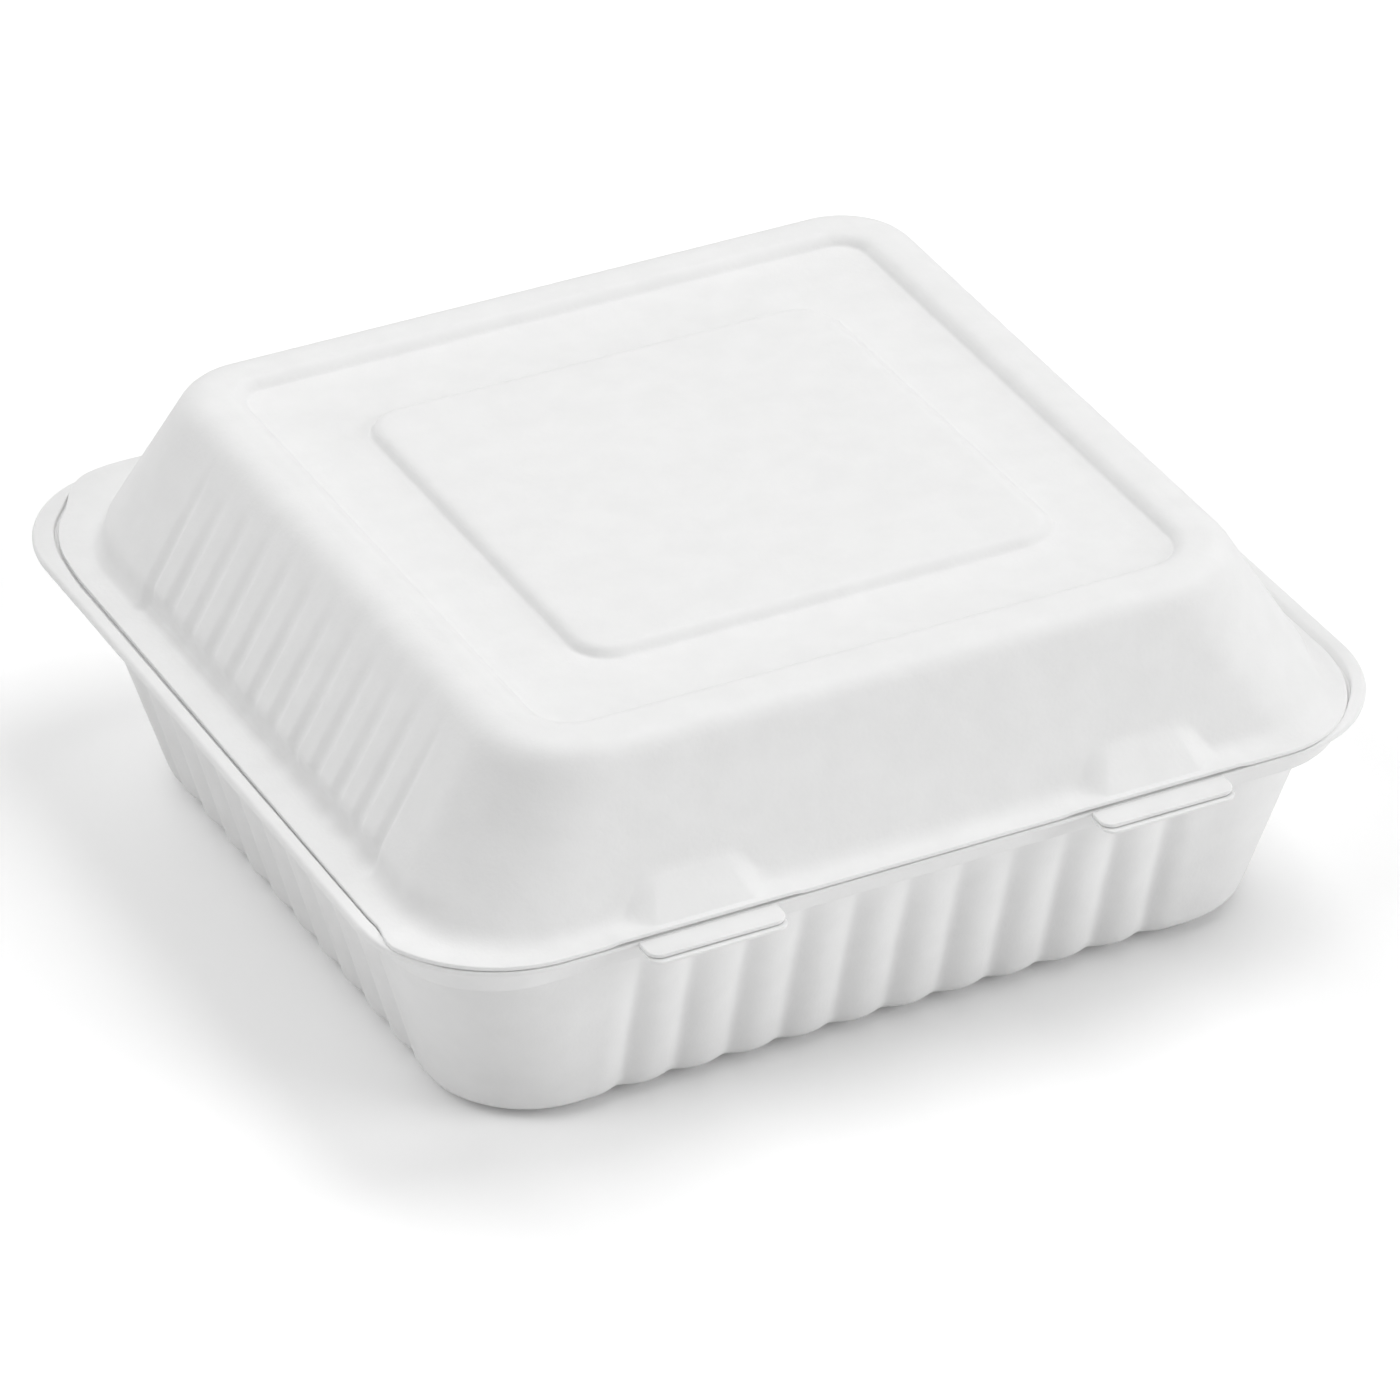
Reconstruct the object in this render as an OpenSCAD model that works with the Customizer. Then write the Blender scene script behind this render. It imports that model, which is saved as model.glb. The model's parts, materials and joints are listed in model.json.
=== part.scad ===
// Moulded fibre food box with a hinged lid, closed, standing on its foot.
// Millimetres. +Z up, front at -Y. The origin is on the ground at the middle of the rim's outline.
// The base is a fluted tray with a flat rim. The lid is a lower fluted cover with a sunk field and a raised panel.
// Base and lid are one moulding with a fold along the back edge, shown here as two bodies that turn about the fold.

/* [Overall size] */
// Width of the rim from left to right
body_w = 205; // [185:1:230]
// Depth of the rim from front to back
body_d = 195; // [178:1:220]
// Height of the base, up to the top of its flange
base_h = 47; // [38:0.5:60]
// Height of the lid, from the base's flange up to the top of the ring on the lid
lid_h = 33.4; // [24:0.2:42]
// Thickness of the fibre
wall_t = 0.9; // [0.7:0.05:1.2]

/* [Rim] */
// Outer radius of the rim's corners
rim_r = 28.5; // [24:0.5:31]
// Width of the raised lip outside the lid's flange, on the left and right
lip_w = 2.9; // [1.5:0.1:4]
// Height of that lip over the flange
lip_h = 0.8; // [0.4:0.1:1]
// Gap between the lid's flange and the lip
lip_gap = 0.4; // [0.3:0.05:0.8]
// Gap between the base's flange and the lid's
lid_gap = 0.25; // [0.15:0.05:0.4]

/* [Base] */
// How far the outside of the foot stays inside the rim, on each side
foot_in = 22.5; // [18:0.5:28]
// Height of the plain band under the flange
band_h = 7.4; // [5:0.2:10]
// Number of flutes in each wall
base_flutes = 11; // [7:1:12]
// Distance between flutes in the front wall
flute_pitch = 10.9; // [9:0.1:11]
// Depth of the flutes at the foot
flute_deep = 1.6; // [0.6:0.1:2]

/* [Lid] */
// How far the lid's shoulder stays inside the rim on the left and right
shoulder_in = 24.7; // [20:0.5:30]
// How far the shoulder stays inside the rim at the front
shoulder_front = 12.6; // [10:0.2:18]
// How far the shoulder stays inside the rim at the back
shoulder_back = 24; // [20:0.5:30]
// Depth of the sunk field and height of the raised panel in it
step_h = 1.6; // [0.8:0.1:2]
// Number of valleys between the shallow pads of each side wall
lid_flutes = 12; // [8:1:12]
// Distance between those valleys
lid_pitch = 9.15; // [8:0.05:9.2]
// Depth of those valleys at the foot of the wall
lid_flute_deep = 1.2; // [0.4:0.1:1.4]

/* [Latches] */
// Distance of each latch from the middle of the front
latch_x = 46; // [38:0.5:47]
// Width of the tab under each latch
tab_w = 27.5; // [22:0.5:32]
// How far the tab stands out from the rim
tab_out = 5.3; // [3:0.1:7]
// Thickness of one of the tab's two layers
tab_t = 0.8; // [0.6:0.05:1]
// Height of the wedge-shaped hollow block in the lid's front wall
block_h = 7.8; // [6:0.2:11]

/* [Hidden] */
hx = body_w / 2;
hy = body_d / 2;
seam_z = base_h + lid_gap;
top_z = base_h + lid_h;
wall_x = hx - 8.3;
wall_y = hy - 7.6;
band_z = base_h - band_h;
fold_y = hy + 0.5;
fold_z = base_h - 0.1;
fold_r = 0.45;
arc_n = 6;
fibre = [0.94, 0.94, 0.92];

// How far a corner of the rim is from its side wall: 1 along the side, falling to 0 towards the front or back.
function fade(t, e) = let(u = min(1, max(0, (e - t) / 30))) u * u * (3 - 2 * u);
function largest(list) = max([for (s = list) abs(s[0])]);

// Points along one wall as [place, depth]: two a flute, or four a flute for flutes with flat tops and floors.
// A flat floor reaches b of the distance between flutes from its middle, and a flat top starts at a of it.
function zigzag(n, p) = [for (i = [0 : 2 * n]) [(i - n) * p / 2, i % 2]];
function trapezoid(n, p, a, b) = [for (k = [0 : n - 1], s = [[-a, 0], [-b, 1], [b, 1], [a, 0]])
    [(k - (n - 1) / 2 + s[0]) * p, s[1]]];
function plain(n, w) = [for (i = [0 : n - 1]) [(2 * i / (n - 1) - 1) * w, 0]];

function arc(cx, cy, r, a0, z) = [for (i = [0 : arc_n])
    let(a = a0 + 90 * i / arc_n) [cx + r * cos(a), cy + r * sin(a), z]];

// One closed outline at a height: right, back, left and front walls with round corners between them.
// S, B and F are the points of the side, back and front walls; f and ff are the depths of their flutes.
function ring(S, B, F, rx, yf, yb, r, z, f = 0, ff = 0, yc = 0) =
    let(room = min(yb - r - yc, yc - yf - r) - 0.3,
        ks = min(1, room / largest(S)),
        kf = min(1, (rx - r - 0.3) / largest(F)),
        kb = min(1, (rx - r - 0.3) / largest(B)))
    concat([for (s = S) [rx - f * s[1], yc + ks * s[0], z]],
        arc(rx - r, yb - r, r, 0, z),
        [for (s = B) [-kb * s[0], yb - f * s[1], z]],
        arc(-(rx - r), yb - r, r, 90, z),
        [for (s = S) [-rx + f * s[1], yc - ks * s[0], z]],
        arc(-(rx - r), yf + r, r, 180, z),
        [for (s = F) [kf * s[0], yf + ff * s[1], z]],
        arc(rx - r, yf + r, r, 270, z));

// An outline of the rim, set in by is at the sides and by ie at the front and back, at heights zs and ze.
// The side's figures fade out round each corner, and earlier at the front left one.
function rim_corner(sx, sy, is, ie, zs, ze, e) = [for (i = [0 : arc_n])
    let(t = 90 * (sx * sy > 0 ? i : arc_n - i) / arc_n, k = fade(t, e), r = rim_r - ie - (is - ie) * k)
    [sx * (hx - rim_r + r * cos(t)), sy * (hy - rim_r + r * sin(t)), ze + (zs - ze) * k]];
function rim_ring(S, B, F, is, ie, zs, ze, lift = 0, yc = 0) =
    let(ks = min(1, (hy - rim_r - abs(yc) - 0.3) / largest(S)),
        kf = min(1, (hx - rim_r - 0.3) / largest(F)),
        kb = min(1, (hx - rim_r - 0.3) / largest(B)))
    concat([for (s = S) [hx - is, yc + ks * s[0], zs]],
        rim_corner(1, 1, is, ie, zs, ze, 75),
        [for (s = B) [-kb * s[0], hy - ie, ze]],
        rim_corner(-1, 1, is, ie, zs, ze, 75),
        [for (s = S) [-hx + is, yc - ks * s[0], zs]],
        rim_corner(-1, -1, is, ie, zs, ze, 25),
        [for (s = F) [kf * s[0], -hy + ie, ze + lift * s[1]]],
        rim_corner(1, -1, is, ie, zs, ze, 75));

// A closed skin through a list of outlines, from a first middle point to a last one.
module skin(first, rings, last, down = true) {
    n = len(rings[0]);
    m = len(rings);
    pts = concat([first], [for (r = rings, p = r) p], [last]);
    ends = concat([for (j = [0 : n - 1]) [0, 1 + j, 1 + (j + 1) % n]],
        [for (j = [0 : n - 1]) [1 + m * n, 1 + (m - 1) * n + (j + 1) % n, 1 + (m - 1) * n + j]]);
    bands = [for (i = [0 : m - 2], j = [0 : n - 1], s = [0, 1])
        let(a = 1 + i * n + j, b = 1 + i * n + (j + 1) % n) s == 0 ? [a, a + n, b + n] : [a, b + n, b]];
    all = concat(ends, bands);
    polyhedron(pts, down ? all : [for (t = all) [t[0], t[2], t[1]]]);
}

// BASE TRAY: foot, fluted walls, plain band, flange with a lip, then the same surfaces again on the inside.
base_side = zigzag(base_flutes, flute_pitch * 0.955);
base_front = trapezoid(base_flutes, flute_pitch, 0.35, 0.1);
function base_ring(in, r, z, f) =
    ring(base_side, base_side, base_front, hx - in, -(hy - in * 0.973), hy - in * 0.973, r, z, f, f);
function at_wall(z, t, f) =
    let(k = (z - 5) / (band_z - 5.7), in = foot_in - 4.9 + (8.3 - foot_in + 4.9) * k) base_ring(in + t, 20.5 + 5 * k - t, z, f);
function base_rim(is, ie, zs, ze) = rim_ring(base_side, base_side, base_front, is, ie, zs, ze);

module tab_shape(out) {
    translate([-tab_w / 2 + 2.5, -hy - out + 2.5])
        square([tab_w - 5, out + 1]);
    translate([-tab_w / 2, -hy - out + 2.5])
        square([tab_w, out + 1]);
    translate([-tab_w / 2 + 2.5, -hy - out])
        square([tab_w - 5, 3]);
    for (s = [-1, 1])
        translate([s * (tab_w / 2 - 2.5), -hy - out + 2.5])
            circle(r = 2.5, $fn = 24);
}

module base_tray() {
    t = wall_t;
    f = flute_deep;
    color(fibre) {
        skin([0, 0, 0], [
            base_ring(foot_in, 16, 0, f),
            base_ring(foot_in - 3.2, 18.8, 1.5, f),
            at_wall(5, 0, f),
            at_wall(band_z - 5.6, 0, f * 0.7),
            at_wall(band_z - 0.7, 0, 0),
            base_ring(6, 26.5, band_z, 0),
            base_ring(4.4, 21.5, base_h - 1.9, 0),
            base_ring(3.3, 20.5, base_h - 1, 0),
            base_rim(0, 0, base_h - 1, base_h - 1),
            base_rim(0, 0, base_h + lip_h, base_h),
            base_rim(lip_w, 0.2, base_h + lip_h, base_h),
            base_rim(lip_w + 0.1, 0.3, base_h, base_h - 0.02),
            base_ring(5, 21.5, base_h - 0.05, 0),
            base_ring(5.4, 21.3, base_h - 0.9, 0),
            base_ring(6.9, 25.7, band_z + 0.9, 0),
            at_wall(band_z - 0.7 + t, t, 0),
            at_wall(band_z - 5.3, t, f * 0.7),
            at_wall(5.4, t, f),
            base_ring(foot_in - 2.5, 18.1, 1.5 + t, f),
            base_ring(foot_in + 0.4, 15.6, t, f)], [0, 0, t]);
        for (s = [-1, 1])
            translate([s * latch_x, 0, base_h - 0.1 - tab_t])
                linear_extrude(tab_t)
                    tab_shape(tab_out);
        for (s = [-1, 1])
            translate([s * latch_x, 0, base_h - 0.1 - 2 * tab_t])
                linear_extrude(tab_t + 0.1)
                    tab_shape(tab_out + 0.2);
        for (s = [-1, 1])
            translate([s * latch_x - 7, -hy + 3.9, base_h - 0.7])
                rotate([-16, 0, 0])
                    cube([14, 0.8, 3.8]);
        translate([-(hx - rim_r - 4), hy - 0.8, base_h - 0.75])
            cube([2 * (hx - rim_r - 4), 1.3, 0.6]);
        translate([-(hx - rim_r - 4), fold_y, fold_z])
            rotate([0, 90, 0])
                cylinder(r = fold_r, h = 2 * (hx - rim_r - 4), $fn = 24);
    }
}

// LID: raised panel, sunk field, ring, round shoulder, side walls with pads, hollow latch blocks, flange, inside again.
lid_side = trapezoid(lid_flutes, lid_pitch, 0.27, 0.08);
// The same points at the foot of the wall, where the whole row of pads ends in one sunk strip.
lid_strip = [for (i = [0 : 4 * lid_flutes - 1]) [lid_side[i][0], i == 0 || i == 4 * lid_flutes - 1 ? 0 : 1]];
lid_back = plain(5, hx - rim_r - 4);
lid_yc = -6.6;
function block_points(wide, face) = [for (c = [-1, 1], s = [[-wide, 0], [-face, 1], [face, 1], [wide, 0]])
    [c * latch_x + s[0], s[1]]];
function lid_front(wide, face) = let(p = block_points(wide, face))
    concat([for (i = [0 : 3]) p[i]], [[0, 0]], [for (i = [4 : 7]) p[i]]);
// in, front and back are how far the outline stays inside the rim at the sides, the front and the back.
function lid_ring(in, front, back, r, z, f = 0, wide = 14, face = 9.7, out = 0, side = lid_side) =
    ring(side, lid_back, lid_front(wide, face), hx - in, -hy + front, hy - back, r, z, f, -out, lid_yc);
function lid_wall(k, t, z, f = 0, wide = 14, face = 9.7, out = 0, side = lid_side) =
    lid_ring(8.9 + (shoulder_in - 8.9) * k + t, 5.9 + (shoulder_front - 5.9) * k + t,
        10.9 + (shoulder_back - 10.9) * k + t, 23 - 2.5 * k - t, z, f, wide, face, out, side);
function lid_rim(is, ie, z, lift) = rim_ring(lid_side, lid_back, lid_front(21, 19.5), is, ie, z, z, lift, lid_yc);
function top_ring(d, z) =
    lid_ring(shoulder_in + d, shoulder_front + d, shoulder_back + d, max(4, 20.5 - d * 0.95), z);
function panel_ring(d, z) = lid_ring(53 + d + shoulder_in - 24.7, shoulder_front + 28.7 + d, shoulder_back + 31.5 + d,
    max(3, 8.5 - d), z);

module lid() {
    t = wall_t;
    f = lid_flute_deep;
    low = seam_z + 3.2;
    high = top_z - 4.1;
    mid = seam_z + block_h;
    km = (mid - low) / (high - low);
    kl = km * 0.65;
    fm = f * (1 - 0.7 * (km - 0.14) / 0.74);
    color(fibre)
        skin([0, lid_yc, top_z], [
            panel_ring(2.2, top_z),
            panel_ring(0.4, top_z - step_h),
            top_ring(12, top_z - step_h),
            top_ring(10.2, top_z),
            top_ring(4.1, top_z),
            top_ring(1.4, top_z - 1.1),
            lid_wall(1, 0, high),
            lid_wall(0.88, 0, low + (high - low) * 0.88, f * 0.3),
            lid_wall(km, 0, mid, fm, 10.4, 7, 0),
            lid_wall(kl, 0, low + (high - low) * kl, f, 11.6, 7.7, 0.85),
            lid_wall(0, 0, low, f, 13.7, 9, 2.6, lid_strip),
            lid_ring(7.4, 3.9, 9, 25, seam_z + 1, 0, 15, 9.7, 2.1),
            lid_rim(lip_w + lip_gap, 0.5, seam_z + 0.85, 0.55),
            lid_rim(lip_w + lip_gap, 0.5, seam_z, 0.55),
            lid_ring(8.1, 4.6, 9.7, 24.4, seam_z + 0.05, 0, 14.4, 9.2, 2.1),
            lid_wall(0, t, low - 0.3, f, 13, 8.4, 2.6, lid_strip),
            lid_wall(kl, t, low + (high - low) * kl, f, 11, 7.2, 0.6),
            lid_wall(km, t, mid, fm, 10.2, 6.8, 0),
            lid_wall(0.87, t, low + (high - low) * 0.87, f * 0.3),
            lid_wall(0.99, t, high - 0.3),
            top_ring(2.1, top_z - 1.9),
            top_ring(4.5, top_z - t),
            top_ring(9.8, top_z - t),
            top_ring(11.6, top_z - step_h - t),
            panel_ring(0.8, top_z - step_h - t),
            panel_ring(2.6, top_z - t)], [0, lid_yc, top_z - t], false);
}

base_tray();
lid();
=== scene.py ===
import json
import math

import bpy
import numpy as np
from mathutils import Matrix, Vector


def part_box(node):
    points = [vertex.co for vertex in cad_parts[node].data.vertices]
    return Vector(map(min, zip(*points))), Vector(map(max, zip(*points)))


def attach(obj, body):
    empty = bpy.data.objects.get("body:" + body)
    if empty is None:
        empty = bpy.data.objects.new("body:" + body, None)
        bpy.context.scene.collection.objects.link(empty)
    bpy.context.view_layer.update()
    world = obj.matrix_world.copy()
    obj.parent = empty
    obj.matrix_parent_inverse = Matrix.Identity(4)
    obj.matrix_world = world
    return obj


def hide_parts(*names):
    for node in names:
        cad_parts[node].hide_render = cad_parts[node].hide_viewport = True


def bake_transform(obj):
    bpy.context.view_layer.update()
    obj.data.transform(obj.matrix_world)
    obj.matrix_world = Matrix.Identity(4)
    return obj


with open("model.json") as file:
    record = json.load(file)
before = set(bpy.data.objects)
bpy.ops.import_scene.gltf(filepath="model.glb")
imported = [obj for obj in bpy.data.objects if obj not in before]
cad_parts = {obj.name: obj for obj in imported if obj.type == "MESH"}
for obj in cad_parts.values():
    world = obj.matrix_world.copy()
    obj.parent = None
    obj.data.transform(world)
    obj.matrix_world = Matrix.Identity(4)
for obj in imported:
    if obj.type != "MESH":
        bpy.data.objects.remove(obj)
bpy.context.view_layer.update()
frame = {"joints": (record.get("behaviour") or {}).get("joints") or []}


# BASE TRAY
# One pressing of plant fibre, about 0.9 mm thick: a foot, fluted walls, a plain band and a flat rim.
# The rim has a raised lip outside the lid's flange, which runs out round the front corners.
# The pulp is sucked onto a wire screen and hot pressed, so the skin is matt with a fine stipple.
fold_place = frame["joints"][0]["pos_m"]
rim_half_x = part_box("base_tray")[1].x * 1000
rim_half_y = fold_place[1] * 1000 - 0.5
rim_top = fold_place[2] * 1000 + 0.1
rim_corner = 28.5
fibre = 0.9
lip_wide = 2.9
lip_high = 0.8
foot_inset = 22.5
band_low = rim_top - 7.4
tray_flutes = 11
tray_pitch_front = 10.9
tray_pitch_side = 10.4
tray_flute_deep = 1.7


def wall_columns(side, corner, front, back, front_spread=None):
    """Where the columns of a box-like shell stand: each has a direction and a place between two corner centres.
    A wall's columns share one direction and go from one centre to the next; a corner's turn about one centre."""
    quarter = np.arange(corner) / corner * math.pi / 2
    spread = np.linspace(0, 1, front) if front_spread is None else front_spread
    angle, first, second, share = [], [], [], []
    walls = [np.linspace(0, 1, side), np.linspace(0, 1, back), np.linspace(0, 1, side), spread]
    for k, steps in enumerate(walls):
        angle += [np.full(len(steps), k * math.pi / 2), k * math.pi / 2 + quarter[1:]]
        first += [np.full(len(steps), k), np.full(corner - 1, (k + 1) % 4)]
        second += [np.full(len(steps) + corner - 1, (k + 1) % 4)]
        share += [steps, np.zeros(corner - 1)]
    angle, share = np.concatenate(angle), np.concatenate(share)
    return {"out": np.stack([np.cos(angle), np.sin(angle)], 1), "share": share[:, None],
            "first": np.concatenate(first), "second": np.concatenate(second), "angle": angle}


def outline(columns, half_x, front, back, radius, z, weight=0.0):
    """A rounded rectangle at a height: each column's point is its place between the corner centres, plus the
    radius along its direction. The radius may be a pair for the front and the back corners.
    The fourth number of a point is how deep its flutes are there."""
    r = np.array(radius if isinstance(radius, tuple) else (radius, radius))[[0, 1, 1, 0]]
    centres = np.stack([(half_x - r) * [1, 1, -1, -1], np.array([front, back, back, front]) + r * [1, -1, -1, 1]], 1)
    first, second, share = columns["first"], columns["second"], columns["share"]
    place = centres[first] * (1 - share) + centres[second] * share
    place = place + (r[first][:, None] * (1 - share) + r[second][:, None] * share) * columns["out"]
    count = len(place)
    return np.column_stack([place, np.broadcast_to(z, count), np.broadcast_to(weight, count)])


def rim_outline(columns, inset, z, weight=0.0):
    """The rim's own outline, set in along each column's direction by an inset that may differ by column."""
    points = outline(columns, rim_half_x, -rim_half_y, rim_half_y, rim_corner, z, weight)
    points[:, :2] -= columns["out"] * np.broadcast_to(inset, len(points))[:, None]
    return points


def back_nip(columns):
    """1 where the two back corners begin, beside the side walls, where the edges draw in, and 0 elsewhere."""
    turn = np.degrees(np.arcsin(np.clip(columns["out"][:, 1], 0, 1)))
    return ramp(turn, 2.0, 22.0) * (1 - ramp(turn, 28.0, 58.0))


def ramp(value, low, high):
    """0 below low, 1 above high, and a smooth S between: u squared times (3 - 2 u)."""
    u = np.clip((value - low) / (high - low), 0, 1)
    return u * u * (3 - 2 * u)


def side_share(columns):
    """1 along the left and right walls, falling to 0 round each corner, and sooner at the front left corner."""
    turn = np.abs((np.degrees(columns["angle"]) + 90) % 180 - 90)
    early = (columns["out"][:, 0] < 0) & (columns["out"][:, 1] < 0)
    return 1 - ramp(turn, np.where(early, 6.0, 40.0), np.where(early, 24.0, 75.0))


def soft_path(rings, bend_steps=5):
    """Rows of points through a list of (ring, cut, steps). The rings' corners are replaced by quadratic curves that
    start and end a cut away from the corner, and each straight stretch to the next ring has that many steps."""
    rows = [rings[0][0][None]]
    leave = rings[0][0]
    for (ring, cut, steps), (after, _, _), before_steps in zip(rings[1:-1], rings[2:], [r[2] for r in rings]):
        back, ahead = leave - ring, after - ring
        back_long = np.linalg.norm(back[:, :3], axis=1, keepdims=True)
        ahead_long = np.linalg.norm(ahead[:, :3], axis=1, keepdims=True)
        enter = ring + back * np.minimum(cut / back_long, 0.98)
        exit_point = ring + ahead * np.minimum(cut / ahead_long, 0.48)
        along = (np.arange(1, before_steps + 1) / before_steps)[:, None, None]
        rows.append(leave + (enter - leave) * along)
        if np.any(cut > 0):
            t = (np.arange(1, bend_steps + 1) / bend_steps)[:, None, None]
            rows.append((1 - t) ** 2 * enter + 2 * t * (1 - t) * ring + t ** 2 * exit_point)
        leave = exit_point
    along = (np.arange(1, rings[-2][2] + 1) / rings[-2][2])[:, None, None]
    rows.append(leave + (rings[-1][0] - leave) * along)
    return np.concatenate(rows)


def closed_skin(name, rows, first, last, inside_out=False):
    """A mesh from rows of points that close round, with a fan to a middle point at each end."""
    count, around = rows.shape[:2]
    points = np.concatenate([[first], rows.reshape(-1, 3), [last]]) / 1000
    here = 1 + np.arange(around)
    beside = 1 + (np.arange(around) + 1) % around
    step = np.arange(count - 1)[:, None] * around
    quads = np.stack([here + step, beside + step, beside + step + around, here + step + around], -1).reshape(-1, 4)
    top = (count - 1) * around
    start = np.stack([np.zeros(around, int), beside, here], 1)
    end = np.stack([np.full(around, len(points) - 1), here + top, beside + top], 1)
    if inside_out:
        quads, start, end = quads[:, ::-1], start[:, ::-1], end[:, ::-1]
    mesh = bpy.data.meshes.new(name)
    mesh.from_pydata(points.tolist(), [], quads.tolist() + start.tolist() + end.tolist())
    mesh.polygons.foreach_set("use_smooth", np.ones(len(mesh.polygons), bool))
    mesh.update()
    piece = bpy.data.objects.new(name, mesh)
    bpy.context.scene.collection.objects.link(piece)
    return piece


def lobes(place, count, pitch):
    """Depth of a row of flutes, 0 to 1: round lobes that meet in narrow rounded valleys, as 1 minus |sin| does,
    with the sine's sharp foot rounded off. It is 0 past the last half lobe."""
    foot = 0.2
    wave = np.sqrt(np.sin(np.pi * (place / pitch + (count - 1) % 2 / 2)) ** 2 + foot ** 2)
    high = math.sqrt(1 + foot ** 2)
    return np.where(np.abs(place) < count * pitch / 2, (high - wave) / (high - foot), 0)


def fibre_material(name, stipple):
    """Bleached plant pulp: near white, matt, faintly mottled, with clumped fibres and the screen's stipple as bump."""
    material = bpy.data.materials.new(name)
    material.use_nodes = True
    nodes, links = material.node_tree.nodes, material.node_tree.links
    shader = nodes["Principled BSDF"]
    shader.inputs["Roughness"].default_value = 0.78
    shader.inputs["Specular IOR Level"].default_value = 0.28
    place = nodes.new("ShaderNodeTexCoord").outputs["Object"]

    def noise(scale, detail, rough=0.55):
        node = nodes.new("ShaderNodeTexNoise")
        node.inputs["Scale"].default_value = scale
        node.inputs["Detail"].default_value = detail
        node.inputs["Roughness"].default_value = rough
        links.new(place, node.inputs["Vector"])
        return node.outputs["Fac"]

    mottle = nodes.new("ShaderNodeValToRGB")
    mottle.color_ramp.elements[0].position, mottle.color_ramp.elements[1].position = 0.35, 0.65
    mottle.color_ramp.elements[0].color = (0.830, 0.830, 0.828, 1)
    mottle.color_ramp.elements[1].color = (0.852, 0.852, 0.850, 1)
    links.new(noise(140, 5), mottle.inputs["Fac"])
    links.new(mottle.outputs["Color"], shader.inputs["Base Color"])
    normal = None
    for height, deep in ((noise(70, 2), 0.00012), (noise(1100, 3, 0.6), 0.00004 * stipple)):
        bump = nodes.new("ShaderNodeBump")
        bump.inputs["Distance"].default_value = deep
        bump.inputs["Strength"].default_value = 1.0
        links.new(height, bump.inputs["Height"])
        if normal is not None:
            links.new(normal, bump.inputs["Normal"])
        normal = bump.outputs["Normal"]
    links.new(normal, shader.inputs["Normal"])
    return material


tray_columns = wall_columns(side=170, corner=34, front=190, back=150)
tray_edge = side_share(tray_columns)
tray_front = np.clip(-tray_columns["out"][:, 1], 0, 1)


def tray_outline(inset, radius, z, weight=0.0):
    """An outline of the tray, set in from the rim at the sides, and by a little less at the front and back."""
    deep = inset * 0.973
    return outline(tray_columns, rim_half_x - inset, deep - rim_half_y, rim_half_y - deep, radius, z, weight)


def tray_wall(z, inside=0.0, weight=0.0):
    """The wall's outline at a height, on a straight slope from the foot up to just under the band."""
    share = (z - 5) / (band_low - 5.7)
    inset = (foot_inset - 4.9) * (1 - share) + 8.3 * share + inside
    return tray_outline(inset, (20.5 + 5 * share - inside, 30 + 2.5 * share - inside), z, weight)


def tray_rim(side, end, z_side, z_end):
    """A line of the rim, with its own inset and height along the sides and along the front and back."""
    return rim_outline(tray_columns, end + (side - end) * tray_edge, z_end + (z_side - z_end) * tray_edge)


def seat_edge(inset, radius, z):
    """The inner edge of the flat rim, which is a little wider on the right, as the lid's edge sits further in there."""
    points = tray_outline(inset, radius, z)
    points[:, 0] -= 0.7 * on_right
    return points


deep = tray_flute_deep
tray_nip = back_nip(tray_columns)
edge_in = 0.5 * tray_front * (1 - tray_edge) + 0.8 * tray_nip
front_left = (tray_columns["out"][:, 0] < 0) & (tray_columns["out"][:, 1] < 0)
front_right = (tray_columns["out"][:, 0] > 0) & (tray_columns["out"][:, 1] < 0)
turned = np.degrees(np.arctan2(-tray_columns["out"][:, 1], np.abs(tray_columns["out"][:, 0])))
seal = 0.22 * (front_left * ramp(turned, 8.0, 16.0) * (1 - ramp(turned, 34.0, 46.0))
               + front_right * ramp(turned, 54.0, 62.0) * (1 - ramp(turned, 72.0, 82.0)))
on_right = np.clip(tray_columns["out"][:, 0], 0, 1) ** 2
back_corner = ramp(rim_outline(tray_columns, 0.0, 0.0)[:, 1], 56.0, 78.0)
lip_in = lip_wide + 1.5 * back_corner
lip_slope = 1.5 * (tray_columns["out"][:, 0] > 0.0001) * (1 - back_corner)
lip_foot = lip_in + lip_slope * (1 - front_right * ramp(turned, 0.0, 40.0))
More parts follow.
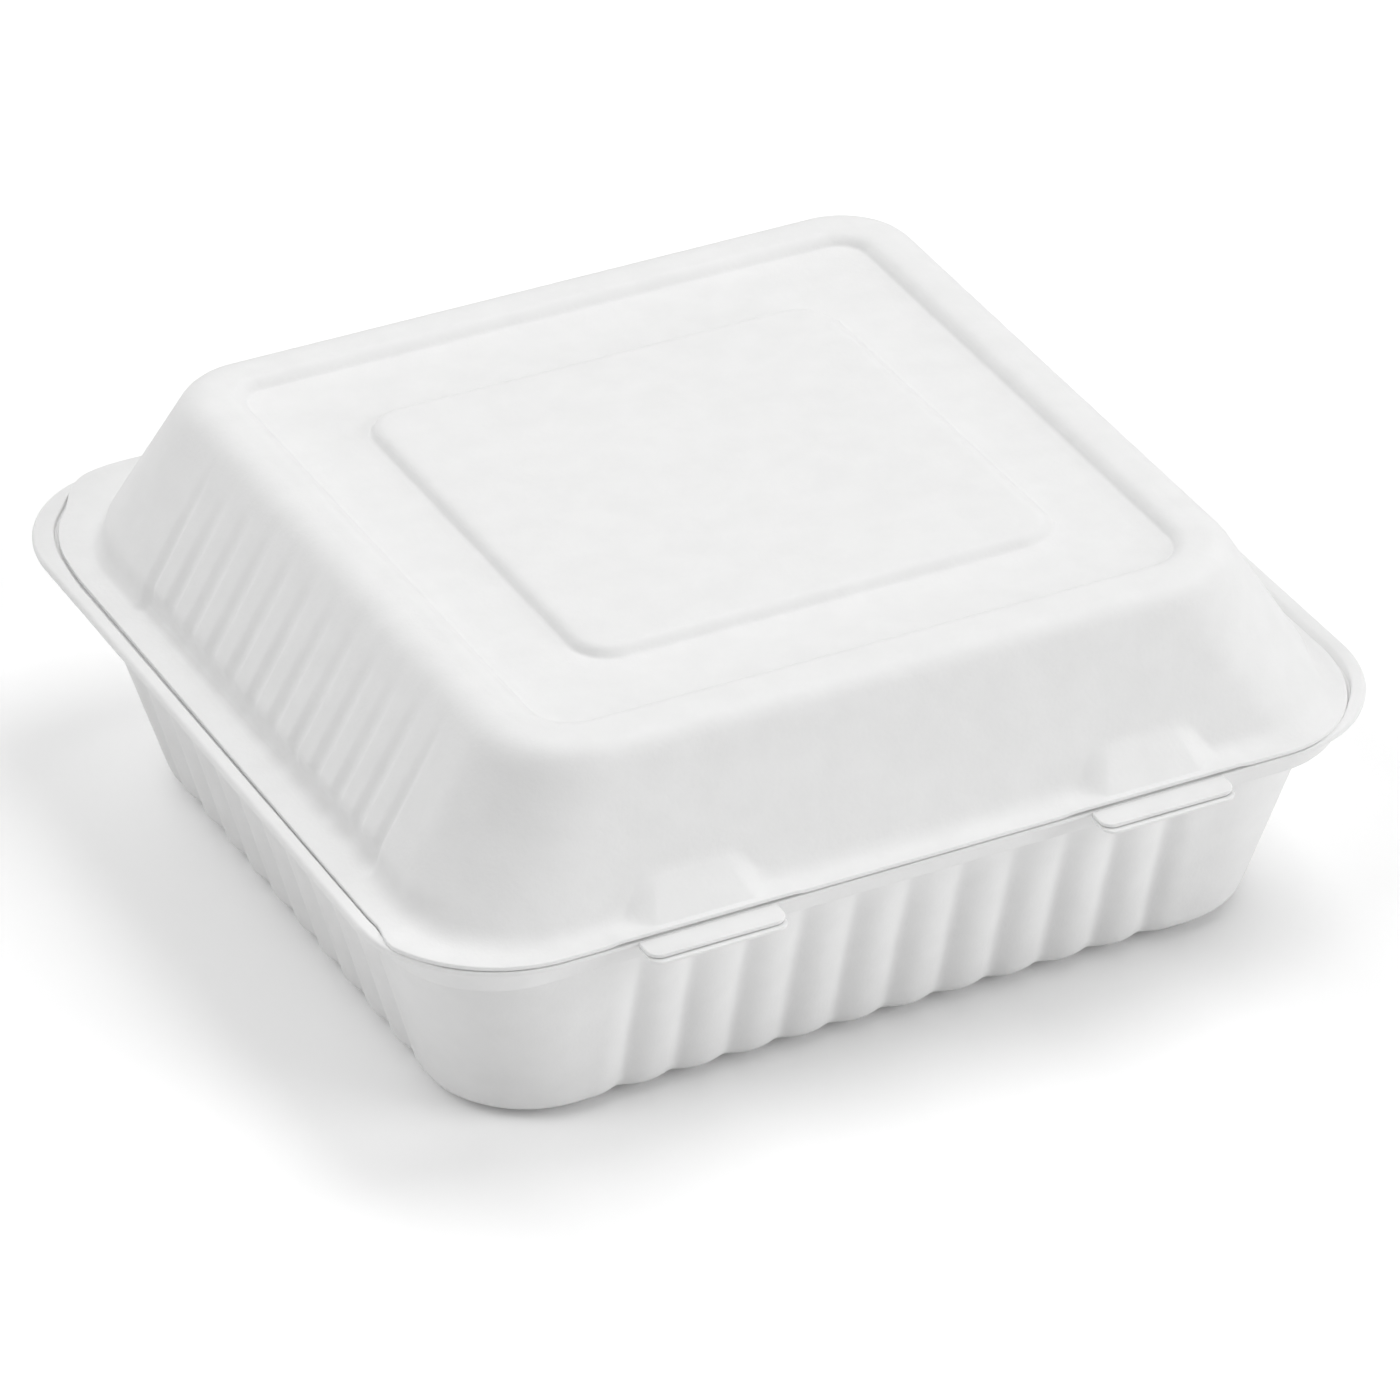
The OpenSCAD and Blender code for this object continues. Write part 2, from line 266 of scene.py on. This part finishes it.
tray_rings = [
    (tray_outline(88, 4, 0), 0, 1),
    (tray_outline(60, 10, 0), 0, 1),
    (tray_outline(foot_inset + 12, 12, 0), 0, 2),
    (tray_outline(foot_inset + 10, 12, 0, deep * 0.4), 3, 3),
    (tray_wall(2.0, 0, deep * 0.8), 3.0, 8),
    (tray_wall(20, 0, deep * 0.95), 3, 8),
    (tray_wall(33, 0, deep * 0.75), 2, 3),
    (tray_wall(band_low - 1.6, 0, deep * 0.5), 0.8, 1),
    (tray_wall(band_low - 0.6, 0, deep * 0.4), 0.35, 1),
    (tray_outline(6.1, (20.5, 32), band_low + 0.1), 0.4, 3),
    (tray_outline(4.4, (18.5, 30), rim_top - 2.2), 0.8, 2),
    (tray_outline(3.2, (19.5, 29), rim_top - 1.1), 0.4, 1),
    (tray_rim(0.3, edge_in + 0.05, rim_top - 1.1, rim_top - 0.95), 0.4, 1),
    (tray_rim(0, edge_in, rim_top - 0.1, rim_top - 0.3), 0.4, 1),
    (tray_rim(0.45, edge_in + 0.1, rim_top + lip_high, rim_top + seal), 0.5, 2),
    (tray_rim(lip_in - 0.1, 1.0 + edge_in, rim_top + lip_high, rim_top + seal), 0.35, 1),
    (tray_rim(lip_foot, 1.2 + edge_in, rim_top, rim_top - 0.02), 0.1, 2),
    (seat_edge(5.2, (19, 29), rim_top - 0.05), 0.3, 1),
    (seat_edge(5.5, (18.8, 29), rim_top - 1.2), 0.4, 3),
    (tray_outline(6.9, (19.7, 31), band_low + 0.9), 0.4, 1),
    (tray_wall(band_low - 0.1, fibre), 0.5, 1),
    (tray_wall(33.3, fibre, deep * 0.75), 2, 3),
    (tray_wall(20.3, fibre, deep * 0.95), 3, 8),
    (tray_wall(2.0 + fibre, fibre, deep * 0.8), 2.6, 8),
    (tray_outline(foot_inset + 10, 11, fibre, deep * 0.4), 3, 2),
    (tray_outline(foot_inset + 12, 12, fibre), 0, 2),
    (tray_outline(60, 10, fibre), 0, 1),
    (tray_outline(88, 4, fibre), 0, 1),
]
rows = soft_path(tray_rings)
on_front = np.abs(tray_columns["out"][:, 1]) > 0.999
on_side = np.abs(tray_columns["out"][:, 0]) > 0.999
hollow = (lobes(rows[..., 0], tray_flutes, tray_pitch_front) * on_front
          + lobes(rows[..., 1], tray_flutes, tray_pitch_side) * on_side)
rows[..., :2] -= (hollow * rows[..., 3])[..., None] * tray_columns["out"]
tray = closed_skin("base_tray_shell", rows[..., :3], (0, 0, 0), (0, 0, fibre))
tray.data.materials.append(fibre_material("base_fibre_pressed", 1.0))
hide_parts("base_tray")
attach(tray, "base")


# LATCH TABS
# Two flat tongues of the base's front edge, each pressed from a double layer of fibre whose edges show.
# They stick out under the lid's flange, where a thumb pushes them back to open the box.
tab_place = 46.0
tab_half = 13.75
tab_reach = 5.3


def plate(name, half_x, front, back, radius, low, high, shift_x, bow=0.0, soft=0.25):
    """A flat plate with a rounded outline and rounded edges, as rows from its underside's middle to its top's.
    Its outer part bows down by the square of the way out."""
    columns = wall_columns(side=8, corner=12, front=30, back=30)
    rings = [(outline(columns, half_x * s, (front + back) / 2 * (1 - s) + front * s,
                      (front + back) / 2 * (1 - s) + back * s, radius * s, low), 0, 1) for s in (0.3, 0.7)]
    rings += [(outline(columns, half_x, front, back, radius, low), soft, 2),
              (outline(columns, half_x, front, back, radius, high), soft, 2)]
    rings += [(outline(columns, half_x * s, (front + back) / 2 * (1 - s) + front * s,
                       (front + back) / 2 * (1 - s) + back * s, radius * s, high), 0, 1) for s in (0.7, 0.3)]
    rows = soft_path(rings, 4)[..., :3]
    rows[..., 2] -= bow * np.clip((back - rows[..., 1]) / (back - front), 0, 1) ** 2
    middle = (front + back) / 2
    drop = bow * 0.25
    rows[..., 0] += shift_x
    return closed_skin(name, rows, (shift_x, middle, low - drop), (shift_x, middle, high - drop))


for side_name, side_sign in (("left", -1), ("right", 1)):
    for layer, more, low, thick in (("upper", -0.7, rim_top - 0.9, 0.75), ("lower", 0.2, rim_top - 1.75, 0.6)):
        tab = plate(f"latch_tab_{layer}_{side_name}", tab_half, -rim_half_y - tab_reach - more, -rim_half_y + 2.2,
                    2.4, low, low + thick, side_sign * tab_place, bow=0.1)
        tab.data.materials.append(tray.data.materials[0])
        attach(tab, "base")


# LOCK TONGUES
# A short tongue of the base's rim behind each tab, which stands up inside the hollow block of the lid.
# Its top hooks into the block and holds the lid shut.
for side_name, side_sign in (("left", -1), ("right", 1)):
    columns = wall_columns(side=6, corner=8, front=24, back=24)
    foot_y, lean = -rim_half_y + 4.3, 0.287
    levels = ((2.0, 0.2, 0.0, 0), (7.6, 0.7, 0.0, 0), (7.6, 0.7, 0.2, 0.2), (7.0, 0.4, 1.0, 0.5),
              (7.0, 0.4, 2.7, 0.5), (6.2, 0.2, 3.2, 0.1), (2.0, 0.1, 3.2, 0))
    rings = [(outline(columns, half_x, foot_y - half_y, foot_y + half_y, 0.7 * half_y, z), cut, 2)
             for half_x, half_y, z, cut in levels]
    rows = soft_path(rings, 4)[..., :3]
    rows[..., 1] += lean * rows[..., 2]
    rows += np.array([side_sign * tab_place, 0, rim_top - 0.4])
    tongue = closed_skin(f"lock_tongue_{side_name}", rows, rows[0].mean(0), rows[-1].mean(0))
    tongue.data.materials.append(tray.data.materials[0])
    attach(tongue, "base")


# LID
# The same pressing's other half: a raised panel in a sunk field, a ring, a round shoulder and sloping walls.
# The side walls carry long shallow pads, and the front wall two hollow blocks that take the lock tongues.
lid_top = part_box("lid")[1].z * 1000
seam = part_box("lid")[0].z * 1000
field_sink = 2.1
shoulder_side = 24.7
shoulder_front = 12.6
shoulder_back = 24.0
lid_middle_y = -6.6
pad_count = 11
pad_pitch = 9.15
pad_high = 1.2
block_top = seam + 7.8
flange_lift = 0.3

straight = np.linspace(-1, 1, 801)
lid_corner_steps, lid_front_steps = 34, 230
crowd = 1 + 2.4 * (np.abs(np.abs(straight) - 0.73) < 0.26)
total = np.cumsum(crowd)
crowded = np.interp(np.linspace(total[0], total[-1], lid_front_steps), total, straight) / 2 + 0.5
lid_columns = wall_columns(side=170, corner=lid_corner_steps, front=lid_front_steps, back=60, front_spread=crowded)
lid_turn = np.degrees(np.arctan2(np.abs(lid_columns["out"][:, 1]), np.abs(lid_columns["out"][:, 0])))
lid_right = lid_columns["out"][:, 0] > 0.0001
lid_edge = np.where(lid_right & (lid_columns["out"][:, 1] < 0), 1 - ramp(lid_turn, 5.0, 90.0),
                    side_share(lid_columns))
wall_foot = seam + 3.2
wall_head = lid_top - 4.1


def lid_outline(side, front, back, radius, z, weight=0.0):
    """An outline of the lid, set in from the rim by its own amount at the sides, the front and the back."""
    return outline(lid_columns, rim_half_x - side, front - rim_half_y, rim_half_y - back, radius, z, weight)


def lid_wall(share, inside=0.0, weight=0.0):
    """The wall's outline at a share of the way from its foot to its head, or its thickness further in."""
    side = 8.9 + (shoulder_side - 8.9) * share
    front = 5.9 + (shoulder_front - 5.9) * share
    back = 10.9 + (shoulder_back - 10.9) * share
    height = wall_foot + (wall_head - wall_foot) * share
    radius = (23 - 2.5 * share - inside, 29 - 13 * share - inside)
    return lid_outline(side + inside, front + inside, back + inside, radius, height, weight)


def top_outline(more, z):
    """An outline on the lid's top, further in than the shoulder by the given amount."""
    return lid_outline(shoulder_side + more, shoulder_front + more, shoulder_back + more,
                       (max(3.5, 20.5 - more * 0.95), max(3.5, 16 - more * 0.8)), z)


def panel_outline(more, z):
    """An outline of the raised panel, or further in."""
    return lid_outline(53 + more, shoulder_front + 28.7 + more, shoulder_back + 31.5 + more, max(2.0, 8.5 - more), z)


def gentler(points, side):
    """The foot of a step on the lid's top, moved to the right on one side, where the step's slope is gentler."""
    points[:, 0] += 1.2 * np.clip(side * lid_columns["out"][:, 0], 0, 1) ** 2
    return points


def lid_rim(side, end, z):
    """A line of the lid's flange, with its own inset from the rim along the sides and along the front and back."""
    return rim_outline(lid_columns, end + (side - end) * lid_edge, z)


low_field = lid_top - field_sink
under = lid_top - fibre
edge_y = rim_outline(lid_columns, 0.0, 0.0)[:, 1]
edge_side = lip_wide + 0.25 + 0.4 * ramp(edge_y, -80.0, 60.0) + 1.6 * lid_right + 1.6 * ramp(edge_y, 58.0, 80.0)
edge_end = 0.5 + 0.8 * back_nip(lid_columns)
foot_cut = (1.7 + 1.0 * np.abs(lid_columns["out"][:, 1]))[:, None]
block_share = (block_top - wall_foot) / (wall_head - wall_foot)
lid_rings = [
    (panel_outline(45, lid_top), 0, 1),
    (panel_outline(30, lid_top), 0, 1),
    (panel_outline(14, lid_top), 0, 2),
    (panel_outline(1.7, lid_top), 1.7, 1),
    (gentler(panel_outline(0.5, low_field), 1), 0.5, 2),
    (panel_outline(-7, low_field), 0, 2),
    (gentler(top_outline(12.1, low_field), -1), 0.5, 1),
    (top_outline(10.9, lid_top), 1.7, 2),
    (top_outline(6.4, lid_top), 0, 1),
    (lid_wall(1.0 + 4.1 / (wall_head - wall_foot)), 3.9, 2),
    (lid_wall(0.93, 0, 0.15), 0.3, 6),
    (lid_wall(0.84, 0, pad_high * 0.35), 1.0, 16),
    (lid_wall(block_share, 0, pad_high), 0.0, 2),
    (lid_wall(block_share - 0.02, 0, pad_high), 0.0, 10),
    (lid_outline(7.7, 5.4, 9.9, (23.2, 30), seam + 1.1, pad_high * 1.1), foot_cut, 3),
    (lid_rim(edge_side, edge_end, seam + 0.8), 0.25, 2),
    (lid_rim(edge_side, edge_end, seam), 0.25, 1),
    (lid_outline(8.3, 5.4, 10.5, (23.6, 29.5), seam + 0.1, pad_high * 0.6), 0.6, 3),
    (lid_wall(-0.1, fibre, pad_high * 0.45), 0.7, 3),
    (lid_wall(0.03, fibre, pad_high * 0.9), 0.6, 8),
    (lid_wall(block_share, fibre, pad_high), 0.0, 12),
    (lid_wall(0.84, fibre, pad_high * 0.35), 1.0, 5),
    (lid_wall(0.93, fibre, 0.15), 1.0, 1),
    (lid_wall(0.99, fibre), 0.0, 2),
    (top_outline(4.2, under), 0, 2),
    (top_outline(9.4, under), 1.0, 1),
    (gentler(top_outline(12.2, low_field - fibre), -1), 1.0, 2),
    (panel_outline(-7, low_field - fibre), 0, 2),
    (gentler(panel_outline(0.4, low_field - fibre), 1), 1.0, 1),
    (panel_outline(3.4, under), 1.0, 2),
    (panel_outline(14, under), 0, 1),
    (panel_outline(45, under), 0, 1),
]
rows = soft_path(lid_rings)

# The pads of the side walls, the hollow that runs along their feet, and the walls' slight inward sag
out_x, out_y = lid_columns["out"][:, 0], lid_columns["out"][:, 1]
along = (rows[..., 1] - lid_middle_y) / pad_pitch
from_pad = np.abs(along - np.round(along))
pad = (1 - ramp(from_pad, 0.24, 0.44)) * ramp(rows[..., 2], wall_foot - 0.2, wall_foot + 4.2)
in_zone = ramp(pad_count / 2 + 0.05 - np.abs(along), -0.12, 0.12)
sunk = in_zone * (1 - pad) * (np.abs(out_x) > 0.999)
beside = np.where(out_y < 0, ramp(np.abs(out_x), 0.8, 1.0), ramp(np.abs(out_x), 0.4, 0.8))
strip = 0.75 * beside * (1 - ramp(rows[..., 2], wall_foot - 0.6, wall_foot + 3.4))
share = np.clip((rows[..., 2] - seam) / (wall_head - seam), 0, 1)
sag_deep = 0.5 * ramp(-out_y, 0.0, 0.4) + 1.1 * (out_y < 0) * np.sin(2 * lid_columns["angle"]) ** 2
sag = sag_deep * 4 * share * (1 - share)
rows[..., :2] -= ((sunk + strip) * rows[..., 3] + sag)[..., None] * lid_columns["out"]

# The flange bends up a little over each latch tab
from_edge = rows[..., 1] + rim_half_y
beside_latch = np.abs(np.abs(rows[..., 0]) - tab_place)
lifted = (1 - ramp(beside_latch, 17.0, 20.0)) * (1 - ramp(from_edge, 3.2, 5.8)) * (out_y < -0.9)
rows[..., 2] += flange_lift * lifted * (rows[..., 2] < wall_foot)

# The right wall stands out more toward the back
flare = 2.0
wide = np.clip((rows[..., 1] + 85) / 160, 0, 1) * ramp(rows[..., 0], 54.0, 62.0)
rows[..., 0] += flare * wide * np.clip((rows[..., 2] - wall_foot) / (lid_top - wall_foot), 0, 1)

# The latch blocks, pushed out of the front wall, with the same form on its underside
front_middle = len(lid_columns["angle"]) - lid_corner_steps - lid_front_steps // 2
underside = (np.arange(len(rows)) > np.argmin(from_edge[:, front_middle]))[:, None]
height = rows[..., 2]
face_in = 7.1 - (block_top - height) * 0.82 + 1.15 * underside
stand = np.where(height < block_top + 3, np.clip(from_edge - face_in, 0, None), 0)
down = np.clip((block_top - height) / 6.6, 0, 1)
face = 7.0 + 2.7 * down - 0.5 * underside
slope = np.clip((beside_latch - face) / (3.4 + 1.9 * down), 0, 1)
profile = 1 - 0.7 * slope - 0.3 * slope * slope * (3 - 2 * slope)
block = stand * profile * (out_y < -0.999)
rows[..., :2] += block[..., None] * lid_columns["out"]

lid = closed_skin("lid_shell", rows[..., :3], (0, lid_middle_y, lid_top), (0, lid_middle_y, under), inside_out=True)
lid.data.materials.append(fibre_material("lid_fibre_pressed", 1.4))
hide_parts("lid")
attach(lid, "cover")


# FOLD
# The strip of fibre along the back edge that joins base and lid, creased in the real box so that it bends as a hinge;
# here it is drawn closed only.
# It runs out of the base's rim, round the crease and into the lid's flange.
fold_half = rim_half_x - rim_corner - 8
fold_thick = 0.5
fold_tuck = 1.2  # how far its two ends draw in under the rim's edge
fold_y, fold_z = fold_place[1] * 1000, fold_place[2] * 1000


def fold_strip():
    """A thin strip whose middle line is five points from the base's rim to the lid's flange, offset to both sides
    by half its thickness, and carried along X. Its surface is one loop round that cross section."""
    line = np.array([[-1.6, -0.45], [-0.5, -0.45], [0.02, -0.3], [0.2, 0.15], [0.02, 0.62], [-0.5, 0.8], [-1.6, 0.8]])
    t = np.linspace(0, len(line) - 1, 25)
    path = np.stack([np.interp(t, np.arange(len(line)), line[:, k]) for k in (0, 1)], 1)
    for _ in range(3):
        path[1:-1] = (path[:-2] + 2 * path[1:-1] + path[2:]) / 4
    way = np.gradient(path, axis=0)
    way /= np.linalg.norm(way, axis=1, keepdims=True)
    normal = np.stack([way[:, 1], -way[:, 0]], 1) * fold_thick / 2
    loop = np.concatenate([path + normal, (path - normal)[::-1]])
    x = np.linspace(-fold_half, fold_half, 60)
    rows = np.empty((len(x), len(loop), 3))
    rows[..., 0] = x[:, None]
    rows[..., 1:] = loop + np.array([fold_y, fold_z])
    rows[..., 1] -= fold_tuck * ramp(np.abs(x), fold_half - 16, fold_half)[:, None]
    return rows, loop


rows, loop = fold_strip()
ends = [np.array([sx * fold_half, *(loop[:25].mean(0) + loop[25:].mean(0)) / 2]) for sx in (-1, 1)]
for e in ends:
    e[1:] += (fold_y - fold_tuck, fold_z)
fold = closed_skin("fold_strip", rows, ends[0], ends[1])
fold.data.materials.append(tray.data.materials[0])
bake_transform(fold)


# STUDIO
# A plain pale floor, soft light from above and from the right, and a long lens from the front left.
floor_size = 6.0
floor_mesh = bpy.data.meshes.new("studio_floor")
half = floor_size / 2
floor_mesh.from_pydata([(-half, -half, 0), (half, -half, 0), (half, half, 0), (-half, half, 0)], [], [(0, 1, 2, 3)])
floor = bpy.data.objects.new("studio_floor", floor_mesh)
bpy.context.scene.collection.objects.link(floor)
floor_material = bpy.data.materials.new("floor_paper")
floor_material.use_nodes = True
floor_nodes, floor_links = floor_material.node_tree.nodes, floor_material.node_tree.links
paper = floor_nodes["Principled BSDF"]
paper.inputs["Base Color"].default_value = (0.90, 0.90, 0.90, 1)
paper.inputs["Roughness"].default_value = 1.0
paper.inputs["Specular IOR Level"].default_value = 0.0
whiter = floor_nodes.new("ShaderNodeBsdfDiffuse")
whiter.inputs["Color"].default_value = (0.17, 0.17, 0.17, 1)
seen = floor_nodes.new("ShaderNodeLightPath")
direct = floor_nodes.new("ShaderNodeMath")
direct.operation = "ADD"
floor_links.new(seen.outputs["Is Camera Ray"], direct.inputs[0])
floor_links.new(seen.outputs["Is Glossy Ray"], direct.inputs[1])
both = floor_nodes.new("ShaderNodeAddShader")
floor_links.new(paper.outputs["BSDF"], both.inputs[0])
floor_links.new(whiter.outputs["BSDF"], both.inputs[1])
chosen = floor_nodes.new("ShaderNodeMixShader")
floor_links.new(direct.outputs["Value"], chosen.inputs[0])
floor_links.new(paper.outputs["BSDF"], chosen.inputs[1])
floor_links.new(both.outputs["Shader"], chosen.inputs[2])
floor_links.new(chosen.outputs["Shader"], floor_nodes["Material Output"].inputs["Surface"])
floor_mesh.materials.append(floor_material)

world = bpy.data.worlds.new("studio_air")
bpy.context.scene.world = world
world.use_nodes = True
sky = world.node_tree.nodes["Background"]
sky.inputs["Color"].default_value = (1, 1, 1, 1)
sky.inputs["Strength"].default_value = 0.184


def soft_lamp(name, place, aim, size, power):
    """A square soft box at a place, turned to face a point."""
    lamp = bpy.data.lights.new(name, "AREA")
    lamp.size, lamp.energy = size, power
    holder = bpy.data.objects.new(name, lamp)
    holder.location = place
    holder.rotation_euler = (Vector(aim) - Vector(place)).to_track_quat("-Z", "Y").to_euler()
    bpy.context.scene.collection.objects.link(holder)
    return holder


for lamp_name, turn, rise, power in (("soft_box_right_high", 0, 70, 58.0), ("soft_box_back", 90, 45, 41.3),
                                     ("soft_box_front_right_low", -45, 20, 73.0), ("soft_box_left", 180, 45, 56.0)):
    turn, rise = math.radians(turn), math.radians(rise)
    way = Vector((math.cos(turn) * math.cos(rise), math.sin(turn) * math.cos(rise), math.sin(rise)))
    soft_lamp(lamp_name, way * 4.0, (0, 0, 0), 2.4, power)

view_turn = math.radians(-27.27)
view_rise = math.radians(32.21)
view_aim = Vector((-0.00466, -0.01366, 0.035))
view_far = 1.5037
camera_data = bpy.data.cameras.new("camera")
camera_data.sensor_width = 36
camera_data.lens = 205.7
camera_data.clip_start, camera_data.clip_end = 0.1, 20
camera = bpy.data.objects.new("camera", camera_data)
view_back = Vector((math.sin(view_turn) * math.cos(view_rise), -math.cos(view_turn) * math.cos(view_rise),
                    math.sin(view_rise)))
camera.location = view_aim + view_back * view_far
camera.rotation_euler = view_back.to_track_quat("Z", "Y").to_euler()
bpy.context.scene.collection.objects.link(camera)
bpy.context.scene.camera = camera
bpy.context.scene.view_settings.view_transform = "Standard"
